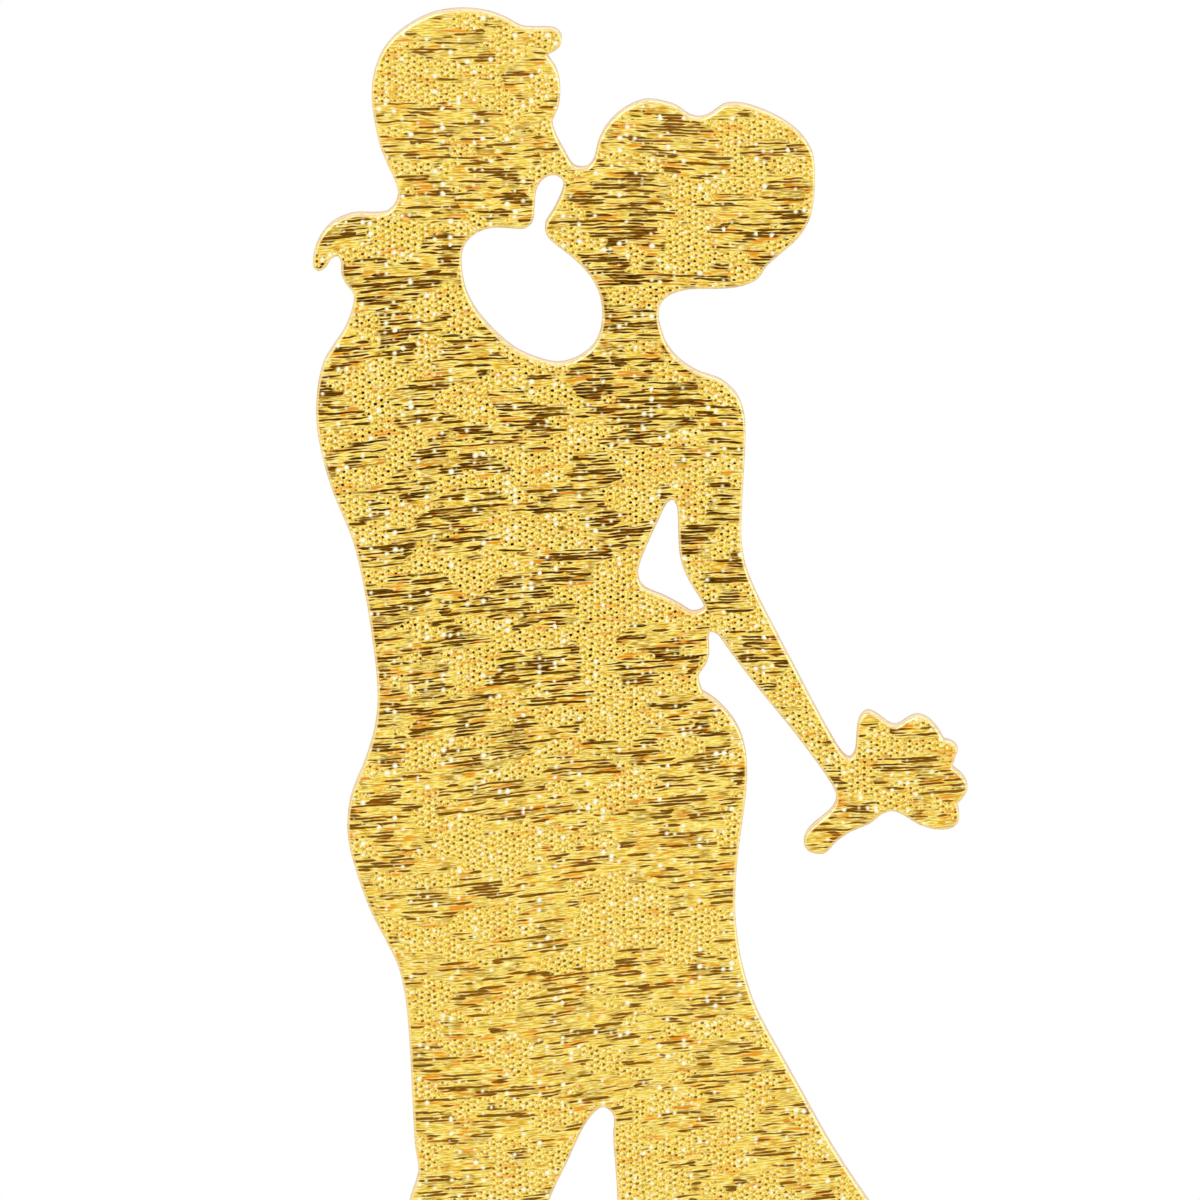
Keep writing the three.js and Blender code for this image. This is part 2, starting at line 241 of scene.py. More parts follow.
class Nodes:
    """A node tree in the making. Sockets are filled with numbers, colours or other sockets."""

    def __init__(self, tree):
        self.tree = tree

    def fill(self, shader, inputs):
        for key, value in inputs.items():
            socket = shader.inputs[key]
            if isinstance(value, bpy.types.NodeSocket):
                self.tree.links.new(value, socket)
            else:
                socket.default_value = value

    def node(self, kind, inputs, **settings):
        shader = self.tree.nodes.new("ShaderNode" + kind)
        for key, value in settings.items():
            setattr(shader, key, value)
        self.fill(shader, inputs)
        return shader

    def maths(self, operation, *values):
        return self.node("Math", dict(enumerate(values)), operation=operation).outputs[0]

    def product(self, first, *others):
        for value in others:
            first = self.maths("MULTIPLY", first, value)
        return first

    def mix(self, share, first, second):
        """The first colour where share is 0, the second where it is 1."""
        inputs = {0: share, 6: first, 7: second}
        return self.node("Mix", inputs, data_type="RGBA").outputs[2]

    def coats(self, colour, *layers):
        """The colour with others laid over it in turn, each given as its share and itself."""
        for share, over in layers:
            colour = self.mix(share, colour, over)
        return colour

    def ramp(self, value, start, end, low=0.0, high=1.0, step="SMOOTHSTEP"):
        """Low up to start, high from end on, and between them a smooth or a straight rise."""
        inputs = {0: value, 1: start, 2: end, 3: low, 4: high}
        return self.node("MapRange", inputs, interpolation_type=step).outputs[0]

    def between(self, value, low, high):
        """Low where the value is 0, high where it is 1, and in between a straight rise."""
        return self.ramp(value, 0.0, 1.0, low, high, "LINEAR")

    def place(self):
        """Where a point lies on the whole object, in metres."""
        return self.node("TexCoord", {}).outputs["Object"]

    def split(self, vector):
        return self.node("SeparateXYZ", {0: vector}).outputs

    def grain(self, size, finer=(1, 1, 1), **inputs):
        """Noise of the given size in metres, finer by so many times along each axis."""
        spot = self.node("VectorMath", {0: self.place(), 1: finer}, operation="MULTIPLY")
        inputs = {"Vector": spot.outputs[0], "Scale": 1 / size, **inputs}
        return self.node("TexNoise", inputs).outputs["Fac"]


class Finish(Nodes):
    """A material in the making, with some of its surface's sockets filled by their names."""

    def __init__(self, name, **sockets):
        self.material = bpy.data.materials.new(name)
        self.material.use_nodes = True
        super().__init__(self.material.node_tree)
        self.surface = self.tree.nodes["Principled BSDF"]
        self.fill(self.surface, sockets)

    def paint(self, colour):
        self.fill(self.surface, {"Base Color": colour})

    def bump(self, height, depth, strength=1.0):
        inputs = {"Height": height, "Distance": depth, "Strength": strength}
        self.fill(self.surface, {"Normal": self.node("Bump", inputs).outputs[0]})


ply_dark, ply_light, fibre_pale = tint(236, 208, 162), tint(250, 230, 194), tint(252, 242, 220)

# A cover gives the values of a noise at which a thing begins to show and is full. Most
# of a noise lies between 0.3 and 0.7
ply_cover, fibre_cover, fibre_share = (0.35, 0.65), (0.3, 0.7), 0.35

card = Finish("card", Roughness=0.9)
plies = card.grain(1.5 * mm, finer=(1, 22, 1), Detail=3.0)
fibres = card.grain(0.25 * mm, Detail=2.0)
ply_colour = card.mix(card.ramp(plies, *ply_cover), ply_dark, ply_light)
card.paint(card.mix(card.ramp(fibres, *fibre_cover, high=fibre_share), ply_colour, fibre_pale))
card.bump(card.maths("ADD", plies, fibres), die_mark)

ridges = np.random.default_rng(11).random((board_rings - 2, len(cut))) * die_mark
depths = np.linspace(board_front + board_corner, board_back - board_corner, board_rings - 2)
board_profile = [(board_corner, board_front), *zip(ridges, depths), (board_corner, board_back)]
board = new_piece(
    "pale_board",
    sheet_rings(board_profile),
    sheet_faces(board_rings, cut_fill, cut_fill),
    card.material,
    edge_turn,
)
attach(board, "root")
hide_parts("core_board")

# The bonding film
# A tenth of a millimetre of milky film melts the cloth onto the board. Only its edge
# shows, drawn in by the die a hair behind the board's and the cloth's.

film_front, film_back = (corner[1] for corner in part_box("bonding_film"))
film_inset = 0.03 * mm
film_waves = 0.02 * mm
film_yellow, film_pale = tint(236, 214, 172), tint(250, 238, 208)

adhesive = Finish("milky_film", Roughness=0.45)
clouds = adhesive.grain(0.6 * mm, Detail=2.0)
adhesive.paint(adhesive.mix(clouds, film_yellow, film_pale))
adhesive.bump(clouds, film_waves)

film = new_piece(
    "milky_film",
    sheet_rings([(film_inset, film_front), (film_inset, film_back)]),
    sheet_faces(2, cut_fill, cut_fill),
    adhesive.material,
    edge_turn,
)
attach(film, "root")
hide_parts("bonding_film")

# The gold cloth
# A metallic cloth of flat gold weft over fine warp. In some places it is a plain weave,
# whose crossings show as small dark dents, and in others its rows float in loose
# bundles of two with dark gaps between them. The die rounds its cut edge.

cloth_front, cloth_back = (corner[1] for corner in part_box("lame_facing"))
cloth_low, cloth_high = (np.array(corner)[::2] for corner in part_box("lame_facing"))

# The weave: rows of weft, crossed by the warp at every fourth column of the mesh
row_pitch = 0.25 * mm
crossing_pitch = 1.0833 * mm
crossing_columns = 4
column_pitch = crossing_pitch / crossing_columns

# The rows' slope below and over the heads, the heights between which it changes, and
# their waves: each one's height, its length across and up for a radian, and its start
row_slope, head_row_slope = 0.072, 0.016
slope_change = 66 * mm, 126 * mm
row_waves = (0.3 * mm, 8.5 * mm, 29 * mm, 0), (0.09 * mm, 3.1 * mm, 11 * mm, 1)
row_margin = 4 * mm
settling_rounds = 4

# The patches of floats: their width, height, weight and seed, and the shares at which
# the plain weave begins to turn into floats and is done with it
float_patches = (3.6 * mm, 1.6 * mm, 0.52, 21), (1.5 * mm, 0.8 * mm, 0.42, 22)
float_base, float_loss_at_heads = 0.07, 0.018
heads_from, heads_to = 104 * mm, 112 * mm
float_edge = 0.47, 0.53
bundle_rows = 2
bundle_draws, bundle_shift_mm = 1024, 1.1
bundle_shifts = np.random.default_rng(5).random(bundle_draws) * bundle_shift_mm * mm

# The relief: how deep crossings and gaps lie, how high the weft is crowned, and how far
# in from the cut it begins and is full
dent, gap_depth, crown = 0.055 * mm, 0.04 * mm, 0.02 * mm
yarn_wander = 0.006 * mm
relief_from, relief_to = 0.34 * mm, 0.9 * mm

drift_draws = 256


def smooth_step(value, start, end):
    """0 up to start, 1 from end on, and an S-curve between them."""
    t = np.clip((value - start) / (end - start), 0, 1)
    return t * t * (3 - 2 * t)


def drift(across, up, seed):
    """Smooth random heights from 0 to 1: one draw at each whole place, and between four
    of them a blend by S-curves."""
    draws = np.random.default_rng(seed).random((drift_draws, drift_draws))
    column, row = np.floor(across).astype(int), np.floor(up).astype(int)
    right, above = smooth_step(across - column, 0, 1), smooth_step(up - row, 0, 1)

    def level(row):
        left_draw = draws[column % drift_draws, row % drift_draws]
        right_draw = draws[(column + 1) % drift_draws, row % drift_draws]
        return left_draw * (1 - right) + right_draw * right

    return level(row) * (1 - above) + level(row + 1) * above


def row_rise(x, row_height):
    """How far a weft row lies above its own height at x. The rows climb to the right, less
    so over the heads, and sway a little in two sine waves."""
    change_start, change_end = slope_change
    changed = np.clip((row_height - change_start) / (change_end - change_start), 0, 1)
    rise = (row_slope + (head_row_slope - row_slope) * changed) * x
    for height, length_across, length_up, start in row_waves:
        rise = rise + height * np.sin(x / length_across + row_height / length_up + start)
    return rise


def float_share(x, row_height):
    """How firmly the weft floats, over a half where it does. The patches are wider than
    high, a little fewer over the heads, and each bundle of two rows starts and ends at a
    place of its own."""
    bundle = np.floor(row_height / (bundle_rows * row_pitch) + 0.5).astype(int)
    height = bundle * bundle_rows * row_pitch
    shifted = x + bundle_shifts[bundle % len(bundle_shifts)]
    share = float_base - float_loss_at_heads * smooth_step(height, heads_from, heads_to)
    for patch_width, patch_height, weight, seed in float_patches:
        share = share + weight * drift(shifted / patch_width, height / patch_height, seed)
    return share


def woven_height(spots):
    """The height of the weft row through each (x, z) spot, by taking the row's rise off
    again and again until it settles."""
    height = spots[:, 1]
    for _ in range(settling_rounds):
        height = spots[:, 1] - row_rise(spots[:, 0], height)
    return height


def whole_steps(low, high, pitch):
    """The whole numbers of steps that reach from low to high."""
    return np.arange(np.floor(low / pitch), np.ceil(high / pitch) + 1)


columns = whole_steps(cloth_low[0], cloth_high[0], column_pitch)
rows = whole_steps(cloth_low[1] - row_margin, cloth_high[1] + row_margin, row_pitch)
column, row = (grid.ravel().astype(int) for grid in np.meshgrid(columns, rows))
x, row_height = column * column_pitch, row * row_pitch
spots = np.stack([x, row_height + row_rise(x, row_height)], 1)
depth = depth_inside(spots, cut, outward)
kept = depth > relief_from
column, row, spots, depth = column[kept], row[kept], spots[kept], depth[kept]
x, row_height = x[kept], row_height[kept]

floats = float_share(x, row_height)
loose = smooth_step(floats, *float_edge)
crossing = (column + crossing_columns // 2 * (row % 2)) % crossing_columns == 0
plain_relief = np.where(crossing, -dent, crown)
float_relief = np.where(row % bundle_rows == 0, -gap_depth, crown)
relief = (1 - loose) * plain_relief + loose * float_relief
relief = relief * smooth_step(depth, relief_from, relief_to)
relief += np.random.default_rng(8).normal(0, yarn_wander, len(relief))
field = np.stack([spots[:, 0], cloth_front - relief, spots[:, 1]], 1)

# The rolled rim, from the flat front round to the back
cloth_profile = [
    (0.26 * mm, cloth_front),
    (0.14 * mm, cloth_front + 0.012 * mm),
    (0.05 * mm, cloth_front + 0.05 * mm),
    (0, cloth_front + 0.13 * mm),
    (0.01 * mm, cloth_back),
]
rim_from, rim_to = 0.1 * mm, 0.55 * mm
cloth_rings = sheet_rings(cloth_profile)
inner_line = cloth_rings[0][:, ::2]
cloth_fill = filled(inner_line, spots)

# Where a point lies in the weave: along the weft in millimetres, across it in rows, and
# how firmly it floats. In the parts that face evenly lit room, below the hips, over the
# heads and towards the right, the cloth is painted as evenly lit: calmer, with finer
# gaps, and with a pale peach tint
calm_below, calm_above, calm_beyond = (90 * mm, 56 * mm), (106 * mm, 134 * mm), (0, 20 * mm)

lame = Finish("gold_lame", Metallic=0.96)
weave = lame.node("Attribute", {}, attribute_name="weave").outputs["Vector"]
along, across, firmness = lame.split(weave)
rim = lame.node("Attribute", {}, attribute_name="rim").outputs["Fac"]
place = lame.split(lame.place())
floating = lame.ramp(firmness, *float_edge)
plain = lame.maths("SUBTRACT", 1.0, floating)
low_down, high_up = (lame.ramp(place[2], *ends) for ends in (calm_below, calm_above))
evenly_lit = lame.maths("MAXIMUM", low_down, high_up)
evenly_lit = lame.maths("MAXIMUM", evenly_lit, lame.ramp(place[0], *calm_beyond))
nearest_row = lame.maths("ROUND", across)
off_row = lame.maths("SUBTRACT", across, nearest_row)
odd = lame.maths("PINGPONG", nearest_row, 1.0)


def where_evenly_lit(share, elsewhere=1.0):
    """The one share where the cloth is painted as evenly lit, and the other elsewhere."""
    return lame.ramp(evenly_lit, 0.0, 1.0, low=elsewhere, high=share)


def flat_spot(first, second):
    return lame.node("CombineXYZ", {0: first, 1: second}).outputs[0]


def row_noise(length, row_step, number, detail=1.0):
    """Noise that runs along the weft, about length millimetres to a streak, and starts anew
    from one row number to the next, the more so the larger the step."""
    spot = flat_spot(lame.maths("DIVIDE", along, length), lame.product(number, row_step))
    inputs = {"Vector": spot, "Scale": 1.0, "Detail": detail}
    return lame.node("TexNoise", inputs, noise_dimensions="2D").outputs["Fac"]


# The noises that change smoothly across the rows
stitches = row_noise(0.17, 1.5, across, 1.5)
hues = row_noise(0.31, 0.83, across)
strands = row_noise(0.85, 3.1, across, 1.2)
fibre = row_noise(1.3, 2.3, across, 1.6)
dot_places = row_noise(1.6, 0.21, across)
dull_places = row_noise(2.6, 0.24, across, 2.0)
satin_places = row_noise(3.4, 0.17, across, 2.5)
blaze_places = row_noise(3.1, 0.41, across)
glint_places = row_noise(2.4, 0.16, across)

# And those that are the row's own
gap_sway = row_noise(1.9, 3.37, nearest_row)
gap_places = row_noise(3.5, 5.71, nearest_row)
gap_thickness = row_noise(2.9, 4.19, nearest_row)
crease_places = row_noise(2.4, 6.13, nearest_row)
blaze_rows = row_noise(1.9, 7.93, nearest_row)

# The plain weave: a dark dent at every fourth column, two columns on in odd rows, with a
# brown ring round it, a gleam on the weft to its right and a shadow to its left. Ovals
# are given by their middle and half width in crossing pitches, their half height in
# rows, and the squared distances, 1 on the oval, at which they begin and are full
dot_oval, ring_oval = (0, 0.108, 0.42, 1.3, 0.8), (0, 0.15, 0.56, 1.3, 0.7)
gleam_oval, shadow_oval = (0.22, 0.13, 0.4, 1.4, 0.3), (-0.25, 0.14, 0.44, 1.4, 0.4)
odd_row_shift, dot_shift, dot_lift = 0.5, 0.1, 0.2

# What a dot's squared distance is multiplied by, and which chances make it faint or its
# gleam dull, and how far
largest_dot, smallest_dot = 0.65, 1.9
faint_chance, faint_dot = (0.0, 0.5), 0.6
dull_chance, dull_gleam = (1.0, 0.3), 0.1
dot_cover, faded_dots = (0.36, 0.56), 0.42

row_shift = lame.product(odd, odd_row_shift)
crossings = lame.maths("MULTIPLY_ADD", along, mm / crossing_pitch, row_shift)
nearest_crossing = lame.maths("ROUND", crossings)
cell = flat_spot(nearest_crossing, nearest_row)
chances = lame.node("TexWhiteNoise", {"Vector": cell}, noise_dimensions="2D").outputs
chance = chances["Value"]
shift_chance, lift_chance, size_chance = lame.node("SeparateColor", {0: chances["Color"]}).outputs
shift = lame.between(shift_chance, -dot_shift, dot_shift)
lift = lame.between(lift_chance, -dot_lift, dot_lift)
from_crossing = lame.maths("ADD", lame.maths("SUBTRACT", crossings, nearest_crossing), shift)
from_middle = lame.maths("ADD", off_row, lift)


def oval(middle, half_width, half_height, begun, full, *shrinking):
    """A soft oval beside the crossing. Its squared distance is the square of the share of
    its half width plus that of the share of its half height, times any shrinking."""
    x = lame.maths("DIVIDE", lame.maths("SUBTRACT", from_crossing, middle), half_width)
    y = lame.maths("DIVIDE", from_middle, half_height)
    distance = lame.maths("MULTIPLY_ADD", x, x, lame.product(y, y))
    return lame.ramp(lame.product(distance, *shrinking), begun, full)


dot = lame.product(
    oval(*dot_oval, lame.between(size_chance, largest_dot, smallest_dot)),
    lame.ramp(chance, *faint_chance, low=faint_dot),
    plain,
    lame.ramp(dot_places, *dot_cover, low=faded_dots),
)
ring = lame.product(oval(*ring_oval), plain)
brightness = lame.ramp(chance, *dull_chance, low=dull_gleam)
gleam = lame.product(oval(*gleam_oval), brightness, plain)
shadow = lame.product(oval(*shadow_oval), plain)

# The floats: dark gaps between the yarns with tapered ends, most of them between bundles
# of two, painted shade beside each gap and a painted highlight on the lip beyond that
# shade, painted shade in finer creases, and painted orange reflections here and there.
# Distances from a gap and its half width are in rows, and an edge gives the distances at
# which a thing begins to show and is full
most_noise = 0.3, 0.7
sway_height, fray_height = 0.22, 0.09
thickness_cover, thinnest_gap, thickest_gap = (0.35, 0.65), 0.22, 0.5
fewer_in_odd_rows, more_where_dull, fewer_where_calm = -0.08, 0.09, -0.075
dull_cover, satin_cover, crease_cover = (0.55, 0.61), (0.57, 0.63), (0.4, 0.62)
taper_cover, gap_cover, gap_shade_cover = (0.41, 0.54), (0.43, 0.46), (0.42, 0.46)
gap_edge, gap_shade_edge, crease_edge = (0.03, -0.05), (0.19, 0.05), (0.3, 0.05)
lip_highlight_edge, lipped_width = (0.5, 0.3), (0.0, 0.1)
blaze_cover, blazing_rows = (0.54, 0.65), (0.45, 0.56)
blaze_edge, blaze_beyond, blaze_in_plain = (0.5, 0.25), 0.25, 0.65

dull = lame.product(lame.ramp(dull_places, *dull_cover), floating)
# Satin patches: a painted dark brown reflection on the smooth floats
satin_reflection = lame.product(lame.ramp(satin_places, *satin_cover), floating)
sway = lame.ramp(gap_sway, *most_noise, -sway_height, sway_height, "LINEAR")
from_gap = lame.maths("ABSOLUTE", lame.maths("ADD", off_row, sway))
presence = lame.maths("MULTIPLY_ADD", odd, fewer_in_odd_rows, gap_places)
presence = lame.maths("MULTIPLY_ADD", dull, more_where_dull, presence)
presence = lame.maths("MULTIPLY_ADD", evenly_lit, fewer_where_calm, presence)
thickness = lame.ramp(gap_thickness, *thickness_cover, thinnest_gap, thickest_gap, "LINEAR")
gap_width = lame.product(lame.ramp(presence, *taper_cover), thickness)
frayed = lame.ramp(strands, *most_noise, -fray_height, fray_height, "LINEAR")
past_gap = lame.maths("ADD", lame.maths("SUBTRACT", from_gap, gap_width), frayed)


def beside_gap(distance, edge, place, cover):
    """What shows up to an edge from the gap, where the place is covered and the weft floats."""
    return lame.product(lame.ramp(distance, *edge), lame.ramp(place, *cover), floating)


gap = beside_gap(past_gap, gap_edge, presence, gap_cover)
# Painted shade on the yarns beside each gap, where they dip into it
gap_shade = beside_gap(past_gap, gap_shade_edge, presence, gap_shade_cover)
# A painted highlight on the yarn's lip beside a wide gap
lip_highlight = beside_gap(past_gap, lip_highlight_edge, gap_width, lipped_width)
# Painted shade in the finer creases along the gap lines
crease_shade = beside_gap(from_gap, crease_edge, crease_places, crease_cover)
# Painted orange reflections on the floats here and there
orange_reflection = lame.product(
    lame.ramp(blaze_places, *blaze_cover),
    lame.ramp(blaze_rows, *blazing_rows),
    lame.ramp(from_gap, *blaze_edge, low=blaze_beyond),
    lame.ramp(floating, 0.0, 1.0, low=blaze_in_plain),
)

# Small round glints in clusters, a little more of them over the heads. Their radius is
# in cells, of which there are three to two millimetres
cells_per_mm = 1.5
largest_glint = 0.31
cluster_cover, fewer_apart, more_in_clusters = (0.4, 0.62), -0.07, 0.09
glints_from, glints_to, more_at_heads = 100 * mm, 116 * mm, 0.02
lucky, haloed_size = (0.68, 1.06), (0.0, 0.05)
glint_edge, halo_edge = (0.0, 0.16), (-0.2, 0.05)

cell = flat_spot(along, lame.product(across, row_pitch / mm))
inputs = {"Vector": cell, "Scale": cells_per_mm}
glints = lame.node("TexVoronoi", inputs, voronoi_dimensions="2D").outputs
luck = lame.node("SeparateColor", {0: glints["Color"]}).outputs[0]
cluster = lame.ramp(glint_places, *cluster_cover, fewer_apart, more_in_clusters)
at_heads = lame.ramp(place[2], glints_from, glints_to)
cluster = lame.maths("MULTIPLY_ADD", at_heads, more_at_heads, cluster)
luck = lame.maths("ADD", luck, cluster)
glint_size = lame.ramp(luck, *lucky, high=largest_glint, step="LINEAR")
inside_glint = lame.maths("SUBTRACT", glint_size, glints["Distance"])
glint = lame.ramp(inside_glint, *glint_edge)
halo = lame.product(lame.ramp(inside_glint, *halo_edge), lame.ramp(glint_size, *haloed_size))

# The colours, and the covers by which the plain weave, the floats and the gaps get them.
# The gleam, shadow, halo and glint colours, the shade beside gaps and in creases, the lip
# highlight, the cream sheen and the reflected satin brown and orange are painted light
bright, middle, honey, deep = (
    tint(255, 233, 102), tint(246, 197, 48), tint(222, 168, 34), tint(192, 130, 8)
)
sheen_cream, lemon, amber, even_light_peach = (
    tint(255, 248, 172), tint(228, 202, 48), tint(246, 180, 46), tint(255, 226, 110)
)
ring_brown, gap_shade_brown, strand_brown, crease_shade_brown = (
    tint(200, 132, 0), tint(184, 110, 0), tint(190, 138, 4), tint(182, 124, 0)
)
reflected_satin_brown, murky_brown, reflected_orange = tint(182, 132, 14), tint(134, 88, 4), tint(234, 140, 8)
gap_dark, gap_light, warp_brown = tint(36, 20, 0), tint(94, 54, 0), tint(134, 98, 12)
dot_dark, gleam_pale, lip_highlight_pale = tint(40, 20, 0), tint(255, 251, 196), tint(255, 244, 134)
halo_pale, glint_white, rim_pale = tint(255, 246, 190), tint(255, 254, 240), tint(250, 222, 156)

bright_stitches, sheen_stitches = (0.36, 0.49), (0.55, 0.63)
lemon_hues, amber_hues = (0.52, 0.64), (0.46, 0.36)
bright_fibre, brown_strands, sheen_strands = (0.36, 0.5), (0.44, 0.37), (0.54, 0.63)
murky_strands, light_fibre, gap_floor = (0.46, 0.6), (0.38, 0.62), (-0.24, -0.42)
pale_rim = 0.0, 0.3

woven = lame.coats(
    lame.mix(lame.ramp(stitches, *bright_stitches), honey, bright),
    (lame.ramp(hues, *lemon_hues, high=0.25), lemon),
    (lame.ramp(hues, *amber_hues, high=0.55), amber),
    (lame.product(shadow, 0.5), deep),
    # Painted sheen: cream flecks on the stitches
    (lame.ramp(stitches, *sheen_stitches, high=0.85), sheen_cream),
    (lame.product(gleam, 0.9), gleam_pale),
    (lame.product(ring, 0.55), ring_brown),
)
murky = lame.product(
    dull, lame.ramp(strands, *murky_strands, low=0.7, high=0.2), where_evenly_lit(0.75)
)
loose_yarn = lame.coats(
    lame.mix(lame.ramp(fibre, *bright_fibre), middle, bright),
    (lame.ramp(strands, *brown_strands, high=0.75), strand_brown),
    (lame.ramp(hues, *lemon_hues, high=0.2), lemon),
    (lame.ramp(hues, *amber_hues, high=0.5), amber),
    # Painted shade in the creases
    (lame.product(crease_shade, 0.8), crease_shade_brown),
    # Painted dark reflection in the satin patches
    (lame.product(satin_reflection, where_evenly_lit(0.3, elsewhere=0.5)), reflected_satin_brown),
    # Painted highlight on the gap lips
    (lame.product(lip_highlight, 0.75), lip_highlight_pale),
    # Painted sheen: cream flecks along the strands
    (lame.ramp(strands, *sheen_strands, high=0.85), sheen_cream),
    (murky, murky_brown),
    # Painted shade beside the gaps
    (lame.product(gap_shade, 0.95), gap_shade_brown),
)
gap_colour = lame.coats(
    lame.mix(lame.ramp(fibre, *light_fibre), gap_dark, gap_light),
    (lame.ramp(past_gap, *gap_floor, high=0.55), warp_brown),
)
yarn_colour = lame.coats(
    lame.mix(floating, woven, loose_yarn),
    # Painted even light: a pale peach tint where the room lights the cloth evenly
    (lame.product(evenly_lit, 0.12), even_light_peach),
    # Painted orange reflection
    (lame.product(orange_reflection, 0.85), reflected_orange),
    (lame.product(gap, where_evenly_lit(0.78)), gap_colour),
    (lame.product(dot, where_evenly_lit(0.75)), dot_dark),
    (lame.product(halo, 0.55), halo_pale),
    (glint, glint_white),
    (lame.ramp(rim, *pale_rim, low=0.75, high=0.0), rim_pale),
)
shining_roughness, matt_roughness = 0.3, 0.55
fibre_relief, fibre_depth, bump_strength = 0.5, 0.05 * mm, 0.4

lame.paint(yarn_colour)
matt = lame.maths("MAXIMUM", dot, gap)
roughness = lame.between(matt, shining_roughness, matt_roughness)
lame.fill(lame.surface, {"Roughness": roughness})
height = lame.maths("MULTIPLY_ADD", fibre, fibre_relief, lame.product(matt, -1.0))
lame.bump(height, fibre_depth, bump_strength)

cloth = new_piece(
    "gold_cloth",
    np.concatenate([cloth_rings.reshape(-1, 3), field]),
    sheet_faces(len(cloth_profile), cloth_fill, cut_fill),
    lame.material,
    pi,
)
ring_spots = cloth_rings[:, :, ::2].reshape(-1, 2)
ring_heights = woven_height(ring_spots)
ring_floats = float_share(ring_spots[:, 0], ring_heights)
ring_depths = np.repeat([inset for inset, _ in cloth_profile], len(cut))
all_along = np.concatenate([ring_spots, spots])[:, 0] / mm
all_across = np.concatenate([ring_heights, row_height]) / row_pitch
weave_values = np.stack([all_along, all_across, np.concatenate([ring_floats, floats])], 1)
weave_data = cloth.data.attributes.new("weave", "FLOAT_VECTOR", "POINT").data
weave_data.foreach_set("vector", weave_values.ravel())
rim_values = smooth_step(np.concatenate([ring_depths, depth]), rim_from, rim_to)
rim_data = cloth.data.attributes.new("rim", "FLOAT", "POINT").data
rim_data.foreach_set("value", rim_values)
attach(cloth, "root")
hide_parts("lame_facing")

# The back liner
# Half a millimetre of mauve-grey paper on the back keeps the board from warping. Its
# edge shows from the front as a thin line, and its whole face shows from behind.

liner_front, liner_back = (corner[1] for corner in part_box("back_liner"))
liner_corner = 0.05 * mm
liner_inset = 0.02 * mm
liner_turn = radians(60)
paper_relief = 0.04 * mm
pulp_dark, pulp_light, hair_grey = tint(210, 200, 200), tint(222, 213, 212), tint(184, 168, 166)
cut_brown = tint(218, 190, 160)
pulp_cover, hair_cover, hair_share = (0.25, 0.75), (0.6, 0.74), 0.45

paper = Finish("liner_paper", Roughness=0.8)
pulp = paper.grain(1.1 * mm, finer=(1, 6, 1.6), Detail=5.0, Roughness=0.65)
hairs = paper.grain(0.5 * mm, finer=(1, 1, 3.5), Detail=2.0)
before_back = paper.ramp(paper.split(paper.place())[1], liner_back, liner_back - liner_corner)
liner_colour = paper.coats(
    paper.mix(paper.ramp(pulp, *pulp_cover), pulp_dark, pulp_light),
    (paper.ramp(hairs, *hair_cover, high=hair_share), hair_grey),
    (before_back, cut_brown),
)
paper.paint(liner_colour)
paper.bump(paper.maths("ADD", pulp, hairs), paper_relief)

liner_profile = [
    (liner_inset, liner_front),
    (0, liner_front + liner_corner),
    (0, liner_back - liner_corner),
    (liner_corner, liner_back),
]
liner = new_piece(
    "grey_liner",
    sheet_rings(liner_profile),
    sheet_faces(len(liner_profile), cut_fill, cut_fill),
    paper.material,
    liner_turn,
)
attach(liner, "root")
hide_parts("back_liner")

# The sticks
# Two round birch sticks, 3 mm thick, sanded but not varnished. Their lower ends are cut
# to a blunt point that goes into the cake, and their upper ends are chamfered.

stick_taper = 9 * mm
tip_radius = 0.5 * mm
stick_chamfer = 0.4 * mm
stick_sides = 72
stick_rings = 220
stick_turn = radians(30)
groove_depth = 0.014 * mm
groove_sides = 3
groove_length = 14 * mm
wood_relief = 0.03 * mm
wood_light, wood_dark, pore_brown = tint(238, 216, 176), tint(206, 172, 122), tint(158, 118, 74)
band_cover, pore_cover, pore_share = (0.3, 0.72), (0.6, 0.72), 0.55

birch = Finish("birch", Roughness=0.68)
bands = birch.grain(1.1 * mm, finer=(1, 1, 0.03), Detail=4.0, Roughness=0.55)
pores = birch.grain(0.16 * mm, finer=(1, 1, 0.06), Detail=1.0)
wood_colour = birch.mix(birch.ramp(bands, *band_cover), wood_light, wood_dark)
pored = birch.ramp(pores, *pore_cover, high=pore_share)
birch.paint(birch.mix(pored, wood_colour, pore_brown))
birch.bump(birch.maths("SUBTRACT", bands, pores), wood_relief)


